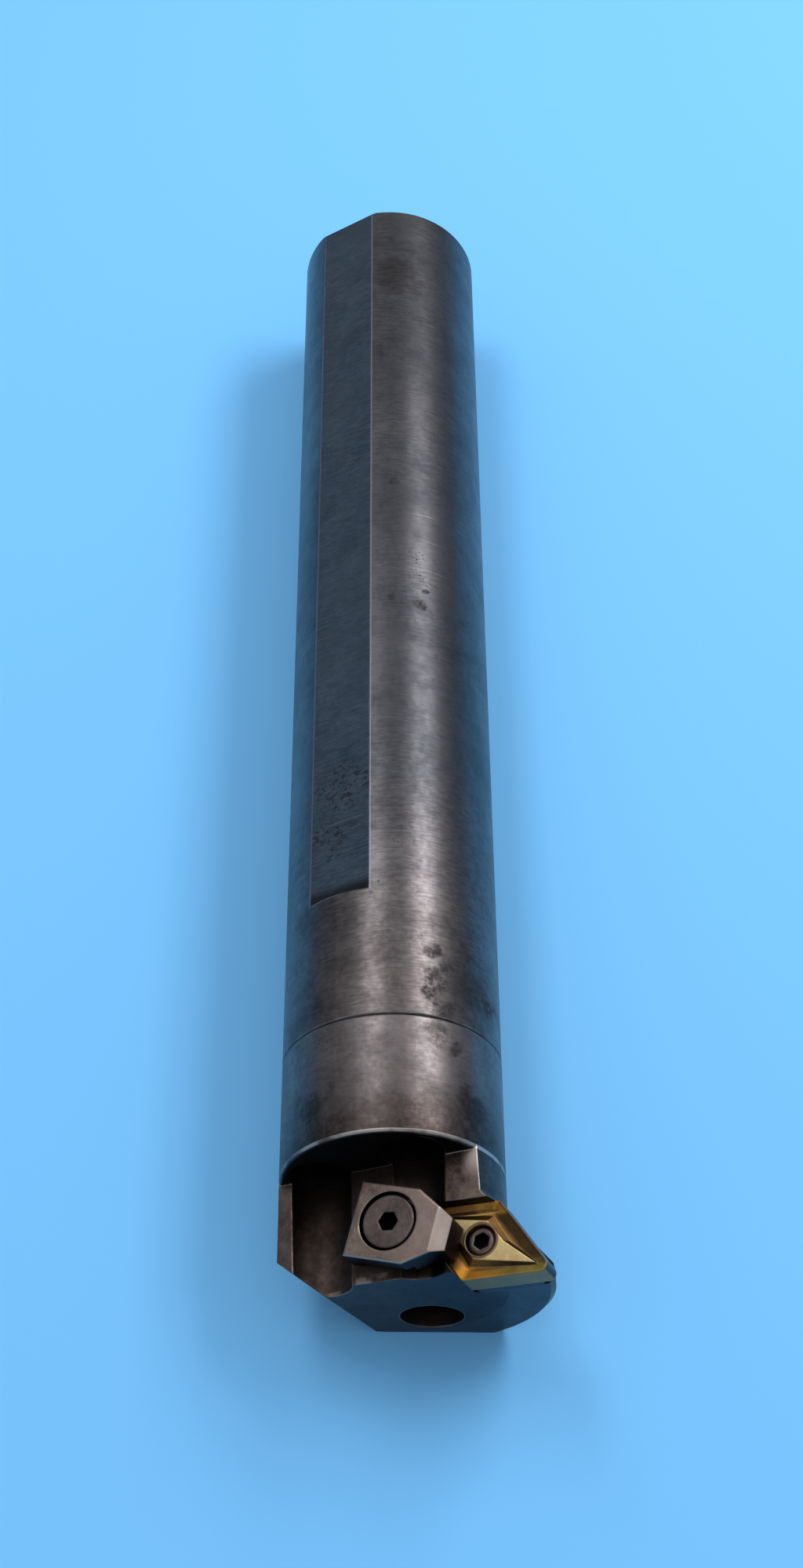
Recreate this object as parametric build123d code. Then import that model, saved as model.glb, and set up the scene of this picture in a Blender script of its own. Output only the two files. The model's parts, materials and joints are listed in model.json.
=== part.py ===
from build123d import *
from math import cos, radians, sin, sqrt, tan
import os

# A screw-jointed boring bar: a round steel shank, a bolt-on cutting head with a pocket
# milled across its top, and a diamond cutting insert held by a lock pin and a top clamp.
#
# Tool frame, millimetres: the origin is on the bar's axis in the joint between the head and
# the shank, +X points sideways towards the cutting tip, +Y back along the shank, and +Z out
# of the clamping flat. At the end every piece is rolled about the axis by resting_roll, which
# is how the bar lies on a table: on the bottom of the shank and the flat under its head.

# ---- bar and shank
bar_diameter = 38.1
shank_length = 210.0
shank_rear_chamfer = 1.0
seam_bevel = 0.3
flat_width = 12.1
flat_start = 25.6
flat_end_chamfer = 1.3
resting_roll = 30.0

# ---- joint between the shank and the head
spigot_diameter = 14.0
spigot_length = 4.0
spigot_clearance = 0.03
recess_floor_gap = 0.5
thread_clearance = 0.05
drill_point_angle = 118.0

# ---- head screws, seen from the front: two above the axis and one below it
head_screw_thread = 6.0
head_screw_grip = 9.0
head_screw_engagement = 15.0
head_screw_cap_diameter = 10.0
head_screw_cap_height = 6.0
head_screw_socket = 5.0
head_screw_socket_depth = 3.0
head_screw_hole = 6.6
tapped_hole_spare_depth = 3.0
screw_access_diameter = 10.8
upper_screw_spread = 17.6
upper_screw_height = 8.6
lower_screw_drop = 12.9
access_rim_chamfer = 0.4

# ---- cutting head
shoulder_distance = 22.0
shoulder_chamfer = 0.5
front_distance = 41.3
front_lead = 3.0
front_relief = 3.5
front_edge_chamfer = 0.9
swing_radius = 26.5
swing_start = 29.3
swing_cone_angle = 38.0
corner_cut_angle = 41.0
corner_cut_side = 10.2

# ---- insert and the seat it stands on
inscribed_circle = 12.7
point_angle = 55.0
insert_thickness = 4.76
insert_hole = 5.16
nose_radius = 1.2
insert_side = 17.1
insert_forward = 36.7
insert_height = 1.45
seat_tilt = 8.0
seat_pitch = 3.5
deck_rise = 2.3
edge_land = 0.15
breaker_width = 1.7
breaker_depth = 0.45
breaker_rise = 0.9
plateau_rise = 0.1
plateau_tip_reach = 10.3
plateau_front = 3.1
plateau_side = 3.9
plateau_crease = 1.2

# ---- shim under the insert, and the lock pin through both
shim_thickness = 3.18
shim_setback = 0.5
shim_nose_radius = 2.4
shim_hole = 6.4
corner_relief = 1.6
pin_head_diameter = 4.9
pin_head_sink = 0.35
pin_head_chamfer = 0.5
pin_collar_diameter = 6.0
pin_collar_height = 2.4
pin_thread = 4.2
pin_thread_length = 7.0
pin_socket = 2.5
pin_socket_depth = 2.2

# ---- clamp and its screw
clamp_turn = -14.5
clamp_width = 12.0
clamp_front_margin = 0.6
clamp_length = 16.45
clamp_straight = 10.4
clamp_nose_width = 4.8
clamp_nose_crease = 14.5
clamp_nose_drop = 2.0
clamp_height = 4.6
clamp_edge_chamfer = 0.25
clamp_heel_length = 2.0
clamp_arch_height = 1.6
clamp_screw_x = -13.3
clamp_screw_y = 2.45
clamp_screw_from_heel = 6.3
clamp_foot_length = 5.0
clamp_foot_inset = 0.5
clamp_hole = 9.9
clamp_screw_head = 9.2
clamp_screw_sink = 0.15
clamp_screw_neck = 5.0
clamp_screw_depth = 9.5
clamp_socket = 3.0
clamp_socket_depth = 3.0
clamp_socket_turn = -5.0
clamp_screw_chamfer = 0.3

bar_radius = bar_diameter / 2
far = 4 * bar_diameter
upper_screw_x = upper_screw_spread / 2
head_screw_places = {
    "left": (-upper_screw_x, upper_screw_height),
    "right": (upper_screw_x, upper_screw_height),
    "lower": (0, -lower_screw_drop),
}


# ---- frames
def seat_frame():
    """The plane of the insert's cutting edges: x along the front edge, y back, z up."""
    tilt, pitch, lead = radians(seat_tilt), radians(seat_pitch), radians(front_lead)
    level = Vector(cos(tilt), 0, -sin(tilt))
    upright = Vector(sin(tilt), 0, cos(tilt))
    forward = Vector(0, -1, 0) * cos(pitch) - upright * sin(pitch)
    normal = upright * cos(pitch) + Vector(0, -1, 0) * sin(pitch)
    along_edge = level * cos(lead) + forward * sin(lead)
    place = (insert_side, -insert_forward, insert_height)
    return Plane(origin=place, x_dir=along_edge, z_dir=normal)


seat = seat_frame()


def beyond(plane):
    """Everything on the far side of a plane."""
    return plane.location * Box(far, far, far, align=(Align.CENTER, Align.CENTER, Align.MIN))


def bar_piece(radius, y_front, y_back):
    """A round about the bar's axis, from y_front to y_back."""
    round_face = Plane(origin=(0, y_front, 0), z_dir=(0, 1, 0)) * Circle(radius)
    return extrude(round_face, amount=y_back - y_front)


def along_bar(x, z, radius, y_front, y_back):
    """A round parallel to the bar's axis, centred at x and z."""
    round_face = Plane(origin=(x, y_front, z), z_dir=(0, 1, 0)) * Circle(radius)
    return extrude(round_face, amount=y_back - y_front)


def on_seat(x, y, radius, low, high):
    """A round standing on the seat plane, from low to high."""
    round_face = (seat.offset(low)) * (Pos(x, y) * Circle(radius))
    return extrude(round_face, amount=high - low)


def hex_on_seat(x, y, across_flats, low, high, turn=0):
    """A hexagonal socket standing on the seat plane."""
    corner_radius = across_flats / 2 / cos(radians(30))
    hexagon = Pos(x, y) * Rot(Z=turn) * RegularPolygon(corner_radius, 6)
    return extrude(seat.offset(low) * hexagon, amount=high - low)


# ---- insert outline on the seat plane: tip at the front right
def diamond_corners(setback=0.0):
    circle = inscribed_circle - 2 * setback
    half = circle / 2
    edge = circle / sin(radians(point_angle))
    tip_x = edge / 2 + half / tan(radians(point_angle))
    back_x = tip_x - circle / tan(radians(point_angle))
    return {
        "tip": (tip_x, -half),
        "back": (back_x, half),
        "inner": (-tip_x, half),
        "front": (-back_x, -half),
    }


def diamond(setback=0.0, corner=nose_radius):
    corners = list(diamond_corners(setback).values())
    outline = make_face(Polyline(*corners, close=True))
    if corner > 0:
        outline = fillet(outline.vertices(), corner)
    return outline


# ---- shank
def make_shank():
    body = bar_piece(bar_radius, 0, shank_length)
    rear_edge = body.edges().filter_by(GeomType.CIRCLE).sort_by(Axis.Y)[-1]
    body = chamfer(rear_edge, shank_rear_chamfer)
    front_edge = body.edges().filter_by(GeomType.CIRCLE).sort_by(Axis.Y)[0]
    body = chamfer(front_edge, seam_bevel)
    flat_height = sqrt(bar_radius**2 - (flat_width / 2) ** 2)
    flat_cut = Pos(0, flat_start, flat_height) * Box(
        bar_diameter, shank_length, bar_diameter, align=(Align.CENTER, Align.MIN, Align.MIN)
    )
    body -= flat_cut
    flat_end = (0, shank_length - flat_end_chamfer, flat_height)
    body -= beyond(Plane(origin=flat_end, z_dir=(0, 1, 1)))
    recess_radius = spigot_diameter / 2 + spigot_clearance
    body -= bar_piece(recess_radius, 0, spigot_length + recess_floor_gap)
    thread_radius = head_screw_thread / 2 + thread_clearance
    hole_depth = head_screw_engagement + tapped_hole_spare_depth
    for x, z in head_screw_places.values():
        body -= along_bar(x, z, thread_radius, 0, hole_depth)
        body -= drill_point(x, z, thread_radius, hole_depth)
    return body


def drill_point(x, z, radius, depth):
    """The cone that a drill leaves at the bottom of a hole."""
    height = radius / tan(radians(drill_point_angle / 2))
    mouth = Plane(origin=(x, depth, z), z_dir=(0, 1, 0))
    return mouth.location * Cone(radius, 0, height, align=(Align.CENTER, Align.CENTER, Align.MIN))


# ---- cutting head
def swing_body():
    """The larger round that carries the seat, coned back to the bar behind it, and cut by the
    table plane under the head."""
    cone_length = (swing_radius - bar_radius) / tan(radians(swing_cone_angle))
    profile = Polyline(
        (0, -swing_start),
        (bar_radius, -swing_start),
        (swing_radius, -swing_start - cone_length),
        (swing_radius, -front_distance - bar_radius),
        (0, -front_distance - bar_radius),
        close=True,
    )
    round_body = revolve(make_face(profile), Axis.Y)
    quarter = Pos(0, 0, -bar_radius) * Box(far, far, far, align=(Align.MIN, Align.CENTER, Align.MIN))
    return round_body & (Rot(Y=resting_roll) * quarter)


def front_plane():
    lead, relief = tan(radians(front_lead)), tan(radians(front_relief))
    return Plane(origin=(0, -front_distance, 0), z_dir=(-lead, -1, -relief))


def corner_cut_plane():
    turn = radians(corner_cut_angle)
    return Plane(origin=(-corner_cut_side, -front_distance, 0), z_dir=(-sin(turn), -cos(turn), 0))


def seat_pocket():
    """The open corner that the shim and the insert stand in, with its corner relief."""
    inner = diamond_corners()["inner"]
    front = diamond_corners()["front"]
    lean = (front[0] - inner[0]) / (inner[1] - front[1])
    reach = inner[1] + far
    outline = make_face(
        Polyline(inner, (far, inner[1]), (far, -far), (inner[0] + lean * reach, -far), close=True)
    )
    floor = -insert_thickness - shim_thickness
    pocket = extrude(seat.offset(floor) * outline, amount=far)
    return pocket + on_seat(inner[0], inner[1], corner_relief / 2, floor, deck_rise)


def make_cutting_head():
    flange = bar_piece(bar_radius, -shoulder_distance, 0)
    front_rim = flange.edges().filter_by(GeomType.CIRCLE).sort_by(Axis.Y)[0]
    flange = chamfer(front_rim, shoulder_chamfer)
    back_rim = flange.edges().filter_by(GeomType.CIRCLE).sort_by(Axis.Y)[-1]
    flange = chamfer(back_rim, seam_bevel)
    nose = bar_piece(bar_radius, -front_distance - bar_radius, -shoulder_distance + shoulder_chamfer)
    nose += swing_body()
    nose -= beyond(seat.offset(deck_rise))
    head = flange + nose
    head += bar_piece(spigot_diameter / 2, -shoulder_distance / 2, spigot_length)
    head -= beyond(front_plane())
    head &= front_edge_cone()
    head -= beyond(corner_cut_plane())
    head -= seat_pocket()
    for x, z in head_screw_places.values():
        head -= along_bar(x, z, screw_access_diameter / 2, -far, -head_screw_grip)
        head -= along_bar(x, z, head_screw_hole / 2, -shoulder_distance, 0)
    head -= lower_access_rim()
    head -= clamp_screw_hole()
    head -= pin_hole()
    return head


def front_edge_cone():
    """A cone that opens backwards from the front face, and trims the rim of the swing round."""
    rim_radius = swing_radius - front_edge_chamfer
    back_align = (Align.CENTER, Align.CENTER, Align.MAX)
    return front_plane().location * Cone(rim_radius + far, rim_radius, far, align=back_align)


def lower_access_rim():
    """A countersink round the lower screw's access hole in the front face."""
    x, z = head_screw_places["lower"]
    lead, relief = tan(radians(front_lead)), tan(radians(front_relief))
    mouth = Plane(origin=(x, -front_distance - x * lead - z * relief, z), z_dir=front_plane().z_dir)
    radius = screw_access_diameter / 2
    rim = Cone(radius - access_rim_chamfer, radius + access_rim_chamfer, 2 * access_rim_chamfer)
    return mouth.location * rim


# ---- clamp: a house-shaped plate on the seat plane, x from its heel to its nose
def clamp_place():
    """The middle of the clamp's heel on the seat plane, turned towards its nose."""
    return Pos(clamp_screw_x, clamp_screw_y) * Rot(Z=clamp_turn) * Pos(-clamp_screw_from_heel, 0)


def clamp_outline():
    """The clamp from above, wider on its front side than behind its screw."""
    half, nose = clamp_width / 2, clamp_nose_width / 2
    rear_side = [(0, half), (clamp_straight, half), (clamp_length, nose)]
    front_side = [(x, -y - clamp_front_margin) for x, y in reversed(rear_side)]
    return make_face(Polyline(*rear_side, *front_side, close=True))


def clamp_arch():
    """The room under the clamp between its heel and its foot, so that only they press down."""
    length = clamp_length - clamp_foot_length - clamp_heel_length
    middle = clamp_heel_length + length / 2
    room = Pos(middle, 0) * Rectangle(length, 2 * clamp_width)
    return extrude(seat.offset(deck_rise) * (clamp_place() * room), amount=clamp_arch_height)


clamp_top = deck_rise + clamp_height


def make_clamp():
    plate = extrude(seat.offset(deck_rise) * (clamp_place() * clamp_outline()), amount=clamp_height)
    top_edges = plate.faces().sort_by(seat_axis())[-1].edges()
    plate = chamfer(top_edges, clamp_edge_chamfer)
    plate -= nose_slope()
    plate -= clamp_arch()
    plate += clamp_foot()
    plate -= on_seat(clamp_screw_x, clamp_screw_y, clamp_hole / 2, 0, clamp_top + 1)
    return plate


def seat_axis():
    return Axis(seat.origin, seat.z_dir)


def nose_slope():
    """The wedge above the clamp's nose, from the crease across its top to its low front end."""
    fall = clamp_nose_drop / (clamp_length - clamp_nose_crease)
    reach = clamp_length + 1
    low = clamp_height - fall * (reach - clamp_nose_crease)
    side = Plane(origin=(0, clamp_width, 0), x_dir=(1, 0, 0), z_dir=(0, -1, 0))
    outline = Polyline(
        (clamp_nose_crease, clamp_height), (reach, clamp_height + 1), (reach, low), close=True
    )
    wedge = extrude(side * make_face(outline), amount=2 * clamp_width)
    return seat.offset(deck_rise).location * clamp_place() * wedge


def clamp_foot():
    """The part of the nose that reaches down to the insert, clear of the pocket's walls."""
    foot = diamond(clamp_foot_inset) & (clamp_place() * clamp_outline())
    behind = clamp_length - clamp_foot_length
    foot -= clamp_place() * (Pos(behind / 2, 0) * Rectangle(behind, 2 * clamp_width))
    return extrude(seat.offset(plateau_rise) * foot, amount=deck_rise - plateau_rise)


def make_clamp_screw():
    head_top = clamp_top - clamp_screw_sink
    screw = on_seat(clamp_screw_x, clamp_screw_y, clamp_screw_head / 2, deck_rise, head_top)
    rim = screw.faces().sort_by(seat_axis())[-1].edges()
    screw = chamfer(rim, clamp_screw_chamfer)
    neck_end = deck_rise - clamp_screw_depth
    screw += on_seat(clamp_screw_x, clamp_screw_y, clamp_screw_neck / 2, neck_end, deck_rise)
    floor = head_top - clamp_socket_depth
    screw -= hex_on_seat(clamp_screw_x, clamp_screw_y, clamp_socket, floor, head_top, clamp_socket_turn)
    return screw


def clamp_screw_hole():
    radius = clamp_screw_neck / 2 + thread_clearance
    return on_seat(clamp_screw_x, clamp_screw_y, radius, deck_rise - clamp_screw_depth - 1, deck_rise + 1)


# ---- insert, shim and lock pin
def plateau_outline(grow=0.0):
    """The raised middle of the insert: pointed towards both acute corners, grown by its walls."""
    tip = Vector(*diamond_corners()["tip"]).normalized() * (plateau_tip_reach + 2 * grow)
    front = (-plateau_crease - grow, -plateau_front - grow)
    side = (-plateau_side - grow, plateau_crease / 2)
    far_side = [tip, front, side]
    return make_face(Polyline(*far_side, *[-Vector(*point) for point in far_side], close=True))


def make_insert():
    body = extrude(seat.offset(-insert_thickness) * diamond(), amount=insert_thickness)
    groove_mouth = seat * diamond(edge_land)
    groove_floor = seat.offset(-breaker_depth) * diamond(edge_land + breaker_width)
    body -= loft([groove_floor, groove_mouth])
    plateau_foot = seat.offset(-breaker_depth) * plateau_outline(breaker_rise)
    plateau_top = seat.offset(plateau_rise) * plateau_outline()
    body += loft([plateau_foot, plateau_top])
    return body - on_seat(0, 0, insert_hole / 2, -insert_thickness - 1, plateau_rise + 1)


def make_shim():
    floor = -insert_thickness - shim_thickness
    outline = diamond(shim_setback, shim_nose_radius)
    body = extrude(seat.offset(floor) * outline, amount=shim_thickness)
    return body - on_seat(0, 0, shim_hole / 2, floor - 1, floor + shim_thickness + 1)


def make_lock_pin():
    top = -pin_head_sink
    floor = -insert_thickness - shim_thickness
    pin = on_seat(0, 0, pin_head_diameter / 2, floor + pin_collar_height, top)
    rim = pin.faces().sort_by(seat_axis())[-1].edges()
    pin = chamfer(rim, pin_head_chamfer)
    pin += on_seat(0, 0, pin_collar_diameter / 2, floor, floor + pin_collar_height)
    pin += on_seat(0, 0, pin_thread / 2, floor - pin_thread_length, floor)
    pin -= hex_on_seat(0, 0, pin_socket, top - pin_socket_depth, top, turn=20)
    return pin


def pin_hole():
    floor = -insert_thickness - shim_thickness
    return on_seat(0, 0, pin_thread / 2 + thread_clearance, floor - pin_thread_length - 1, floor + 1)


# ---- head screws
def make_head_screw(x, z):
    cap_back = -head_screw_grip
    cap_front = cap_back - head_screw_cap_height
    screw = along_bar(x, z, head_screw_cap_diameter / 2, cap_front, cap_back)
    screw += along_bar(x, z, head_screw_thread / 2, cap_back, head_screw_engagement)
    corner_radius = head_screw_socket / 2 / cos(radians(30))
    socket_plane = Plane(origin=(x, cap_front, z), z_dir=(0, 1, 0))
    screw -= extrude(socket_plane * RegularPolygon(corner_radius, 6), amount=head_screw_socket_depth)
    return screw


pieces = {
    "shank": make_shank(),
    "cutting_head": make_cutting_head(),
    "shim": make_shim(),
    "insert": make_insert(),
    "lock_pin": make_lock_pin(),
    "clamp": make_clamp(),
    "clamp_screw": make_clamp_screw(),
}
for place, (x, z) in head_screw_places.items():
    pieces[f"head_screw_{place}"] = make_head_screw(x, z)

os.makedirs("parts", exist_ok=True)
for name, piece in pieces.items():
    rested = Rot(Y=-resting_roll) * piece
    solid = rested.solids()[0] if len(rested.solids()) == 1 else rested
    export_step(solid, f"parts/{name}.step")
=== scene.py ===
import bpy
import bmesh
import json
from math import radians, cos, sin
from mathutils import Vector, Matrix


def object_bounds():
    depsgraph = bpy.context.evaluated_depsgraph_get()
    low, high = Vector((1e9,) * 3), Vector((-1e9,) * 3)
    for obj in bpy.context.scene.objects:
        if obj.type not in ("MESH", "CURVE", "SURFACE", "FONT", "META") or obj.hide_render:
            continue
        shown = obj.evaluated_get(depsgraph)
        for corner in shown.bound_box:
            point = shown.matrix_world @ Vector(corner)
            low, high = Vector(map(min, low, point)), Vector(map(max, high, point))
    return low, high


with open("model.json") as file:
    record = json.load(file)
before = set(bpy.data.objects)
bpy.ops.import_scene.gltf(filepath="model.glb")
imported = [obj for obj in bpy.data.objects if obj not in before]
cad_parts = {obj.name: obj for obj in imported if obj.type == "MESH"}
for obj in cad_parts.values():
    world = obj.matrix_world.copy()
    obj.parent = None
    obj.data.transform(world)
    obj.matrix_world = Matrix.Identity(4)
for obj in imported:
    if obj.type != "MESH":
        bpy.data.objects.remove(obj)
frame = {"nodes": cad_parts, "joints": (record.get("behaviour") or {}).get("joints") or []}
cad_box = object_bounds()

# %% [markdown]
# # A boring bar
# A boring bar is a lathe tool for turning the inside of a hole. This one is a round steel shank,
# a hardened cutting head bolted to its front, and a gold-coated carbide insert under a clamp.
# The solids come from the CAD frame, which is already loaded, true to size and in metres. They
# have every form of the real tool, so no new mesh is needed on them. What is left for Blender is
# the look of it: worn steel, oil stain, and the burnt edges of the insert.

MM = 0.001
print("nodes:", ", ".join(frame["nodes"]))
print("CAD box:", [round(v, 4) for corner in cad_box for v in corner])

# %% [markdown]
# ## The camera
# The bar is seen from in front and above, with its far end running away from us, so the lens and
# the height matter: a camera near the head makes the shank taper. The place is given in
# millimetres, and the turn as three angles, which is easier to adjust than a matrix.

# %% Camera
camera_place = Vector((1.98, -188.03, 330.5)) * MM
camera_turn = (37.135, 0.2445, -0.3229)

camera_data = bpy.data.cameras.new("camera")
camera_data.sensor_width = 36.0
camera_data.lens = 49.87
camera_data.clip_start = 0.01
camera = bpy.data.objects.new("camera", camera_data)
camera.location = camera_place
camera.rotation_euler = [radians(angle) for angle in camera_turn]
bpy.context.scene.collection.objects.link(camera)
bpy.context.scene.camera = camera
print("camera at", [round(v, 3) for v in camera.location])

# %% [markdown]
# ## The floor
# Polished steel has hardly any colour of its own, so it shows the colour of what is round it. A
# pale blue floor gives the cool tint on the lower sides of the bar and on the front face of the
# head. One big square is enough, made from a bmesh grid of a single cell. Its rough, dull paint
# keeps it from mirroring the bar.

# %% Floor
floor_size = 4.0
floor_gap = 0.0002
floor_colour = (0.175, 0.52, 0.91, 1)

floor_mesh = bpy.data.meshes.new("floor")
floor_shape = bmesh.new()
bmesh.ops.create_grid(floor_shape, x_segments=1, y_segments=1, size=floor_size)
floor_height = cad_box[0].z - floor_gap
bmesh.ops.translate(floor_shape, verts=floor_shape.verts, vec=(0, 0, floor_height))
floor_shape.to_mesh(floor_mesh)
floor_shape.free()
floor = bpy.data.objects.new("floor", floor_mesh)
bpy.context.scene.collection.objects.link(floor)

floor_paint = bpy.data.materials.new("pale floor")
floor_paint.use_nodes = True
floor_shader = floor_paint.node_tree.nodes["Principled BSDF"]
floor_shader.inputs["Base Color"].default_value = floor_colour
floor_shader.inputs["Roughness"].default_value = 0.7
floor_shader.inputs["Specular IOR Level"].default_value = 0.1
floor.data.materials.append(floor_paint)
print("floor at", round(floor_height, 4))

# %% [markdown]
# ## The lamps
# A round bar shows a lamp as a bright line along its length, where the surface is turned half-way
# between the lamp and the eye. A long lamp, high on the right and beyond the bar, draws the
# strong line; a second, weaker one on the left draws the faint line beside it. An area lamp is
# right for both, because the line gets soft edges from the lamp's own width.

# %% Lamps
lamp_colour = (1.0, 0.955, 0.965)
lamp_aim = (0, 0.05, 0)


def add_lamp(name, place, width, length, watts):
    """A soft rectangular lamp at place, its long side in line with the bar."""
    lamp = bpy.data.lights.new(name, "AREA")
    lamp.shape = "RECTANGLE"
    lamp.size, lamp.size_y = width, length
    lamp.energy = watts
    lamp.color = lamp_colour
    holder = bpy.data.objects.new(name, lamp)
    holder.location = place
    away = (Vector(place) - Vector(lamp_aim)).normalized()
    side = Vector((0, 1, 0)).cross(away).normalized()
    upward = away.cross(side)
    holder.rotation_euler = Matrix((side, upward, away)).transposed().to_euler()
    bpy.context.scene.collection.objects.link(holder)
    print(name, [round(v, 2) for v in place], "W:", watts)


add_lamp("window lamp", (0.405, 0.38, 0.56), 0.20, 0.58, 3.3)
add_lamp("fill lamp", (-0.25, 0.34, 0.72), 0.20, 0.52, 1.7)

# %% [markdown]
# ## The room
# The world is the rest of the room. It is bright overhead and dimmer near the horizon, which
# keeps the sides of the bar dark. Its Generated coordinate is the direction looked in, so the
# height part of it sets the strength.

# %% World
horizon_strength, overhead_strength = 0.26, 0.88
room_colour = (0.82, 0.83, 0.88, 1)

world = bpy.data.worlds.new("room")
bpy.context.scene.world = world
world.use_nodes = True
room = world.node_tree
looked_in = room.nodes.new("ShaderNodeTexCoord")
split = room.nodes.new("ShaderNodeSeparateXYZ")
room.links.new(looked_in.outputs["Generated"], split.inputs[0])
brightness = room.nodes.new("ShaderNodeMapRange")
brightness.inputs["From Min"].default_value = 0.0
brightness.inputs["From Max"].default_value = 0.9
brightness.inputs["To Min"].default_value = horizon_strength
brightness.inputs["To Max"].default_value = overhead_strength
room.links.new(split.outputs["Z"], brightness.inputs["Value"])
room.links.new(brightness.outputs[0], room.nodes["Background"].inputs["Strength"])
room.nodes["Background"].inputs["Color"].default_value = room_colour
bpy.context.scene.view_settings.view_transform = "Standard"
print("world strength from", horizon_strength, "to", overhead_strength)

# %% [markdown]
# ## Helpers: numbers and colours
# Every finish below is a network of nodes. These helpers only save typing: `put` adds a node
# and fills in its inputs, with a value or with another node's output. The others are the few
# sums that come back again and again. `ramp` is the one to know: it turns a measure, such as a
# distance, into a smooth step, and `fade` is the same step going down.

# %% Node helpers: numbers and colours
def put(tree, kind, settings=None, **inputs):
    """Adds a node; an input is set to a value, or linked if it is given an output socket."""
    node = tree.nodes.new(kind)
    for key, value in (settings or {}).items():
        setattr(node, key, value)
    for key, value in inputs.items():
        socket = node.inputs[int(key[1:])] if key[0] == "_" else node.inputs[key]
        if isinstance(value, bpy.types.NodeSocket):
            tree.links.new(value, socket)
        else:
            socket.default_value = value
    return node


def maths(tree, operation, a, b=0.0, clamp=False):
    """One sum with two numbers."""
    node = put(tree, "ShaderNodeMath", {"operation": operation, "use_clamp": clamp}, _0=a, _1=b)
    return node.outputs[0]


def times(tree, *values):
    """The product of several numbers."""
    product = values[0]
    for value in values[1:]:
        product = maths(tree, "MULTIPLY", product, value)
    return product


def plus(tree, a, b):
    """The sum of two numbers."""
    return maths(tree, "ADD", a, b)


def most(tree, *values):
    """The largest of several numbers, which joins masks without adding them up."""
    largest = values[0]
    for value in values[1:]:
        largest = maths(tree, "MAXIMUM", largest, value)
    return largest


def ramp(tree, value, low, high, bottom=0.0, top=1.0):
    """Turns a value between low and high into a smooth step from bottom to top."""
    settings = {"interpolation_type": "SMOOTHSTEP", "clamp": True}
    node = put(tree, "ShaderNodeMapRange", settings, _0=value, _1=low, _2=high, _3=bottom, _4=top)
    return node.outputs[0]


def fade(tree, value, low, high, top=1.0):
    """A smooth step down: top below low, and 0 above high."""
    return ramp(tree, value, low, high, top, 0.0)


def band(tree, value, low, high, soft):
    """1 between low and high, and 0 outside, with soft edges."""
    rise = ramp(tree, value, low - soft, low + soft)
    return times(tree, rise, fade(tree, value, high - soft, high + soft))


def mix(tree, factor, a, b):
    """Colour a, going over to colour b."""
    a = (*a, 1) if isinstance(a, tuple) else a
    b = (*b, 1) if isinstance(b, tuple) else b
    return put(tree, "ShaderNodeMix", {"data_type": "RGBA"}, _0=factor, _6=a, _7=b).outputs[2]


def shaded(tree, colour, amount):
    """A colour made lighter or darker by a factor."""
    node = put(tree, "ShaderNodeVectorMath", {"operation": "SCALE"}, _0=colour, _3=amount)
    return node.outputs[0]


print("number and colour helpers ready")

# %% [markdown]
# ## Helpers: places
# The finishes change from place to place, and each place is found from the point itself. Object
# coordinates are the piece's own, so a pattern stays with a piece that moves. The measures come
# out in millimetres, since that is how a toolmaker would give them.

# %% Node helpers: places
def place_of(tree):
    """The point on the piece, in metres."""
    return put(tree, "ShaderNodeTexCoord").outputs["Object"]


def vector_sum(tree, operation, a, b):
    """One sum with two vectors; returns the node, which has a vector and a number as outputs."""
    return put(tree, "ShaderNodeVectorMath", {"operation": operation}, _0=a, _1=b)


def facing(tree, way):
    """How far the surface faces a direction: 1 straight at it, 0 side-on."""
    normal = put(tree, "ShaderNodeTexCoord").outputs["Normal"]
    return vector_sum(tree, "DOT_PRODUCT", normal, way).outputs["Value"]


def along(tree, way, start=(0, 0, 0)):
    """How far the point is along a direction from a start, in millimetres."""
    moved = vector_sum(tree, "SUBTRACT", place_of(tree), start).outputs[0]
    return times(tree, vector_sum(tree, "DOT_PRODUCT", moved, way).outputs["Value"], 1 / MM)


def away_from(tree, way, start=(0, 0, 0)):
    """How far the point is from a line through start along a direction, in millimetres."""
    moved = vector_sum(tree, "SUBTRACT", place_of(tree), start).outputs[0]
    crossed = vector_sum(tree, "CROSS_PRODUCT", moved, way).outputs[0]
    length = put(tree, "ShaderNodeVectorMath", {"operation": "LENGTH"}, _0=crossed)
    return times(tree, length.outputs["Value"], 1 / MM)


def noise(tree, scale, detail=3.0, roughness=0.55, stretch=(1, 1, 1)):
    """Cloudy noise with features about 1 / scale metres across, squeezed along an axis."""
    mapped = put(tree, "ShaderNodeMapping", _0=place_of(tree), _3=stretch).outputs[0]
    cloud = put(tree, "ShaderNodeTexNoise", _0=mapped, Scale=scale, Detail=detail, Roughness=roughness)
    return cloud.outputs["Fac"]


print("place helpers ready")

# %% [markdown]
# ## Wear that several pieces share
# Some effects come back on more than one piece, so each is a node group with its own settings.
# A group is built once and placed in each material with its own values, like a stamp with a
# few dials. `new_group` makes an empty one, and `use` places it.

# %% Groups: how to make and place one
def new_group(name, inputs, outputs):
    """An empty node group; an input is a vector if its value is a tuple, and a number if not."""
    group = bpy.data.node_groups.new(name, "ShaderNodeTree")
    for socket, value in inputs.items():
        kind = "NodeSocketVector" if isinstance(value, tuple) else "NodeSocketFloat"
        dial = group.interface.new_socket(name=socket, in_out="INPUT", socket_type=kind)
        dial.default_value = value
    for socket, kind in outputs.items():
        group.interface.new_socket(name=socket, in_out="OUTPUT", socket_type=kind)
    print("group:", name, "with", ", ".join(inputs))
    return group, group.nodes.new("NodeGroupInput"), group.nodes.new("NodeGroupOutput")


def use(tree, group, **inputs):
    """Places a node group in a material."""
    node = tree.nodes.new("ShaderNodeGroup")
    node.node_tree = group
    for key, value in inputs.items():
        node.inputs[key].default_value = value
    return node


MASK = {"Mask": "NodeSocketFloat"}

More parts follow.
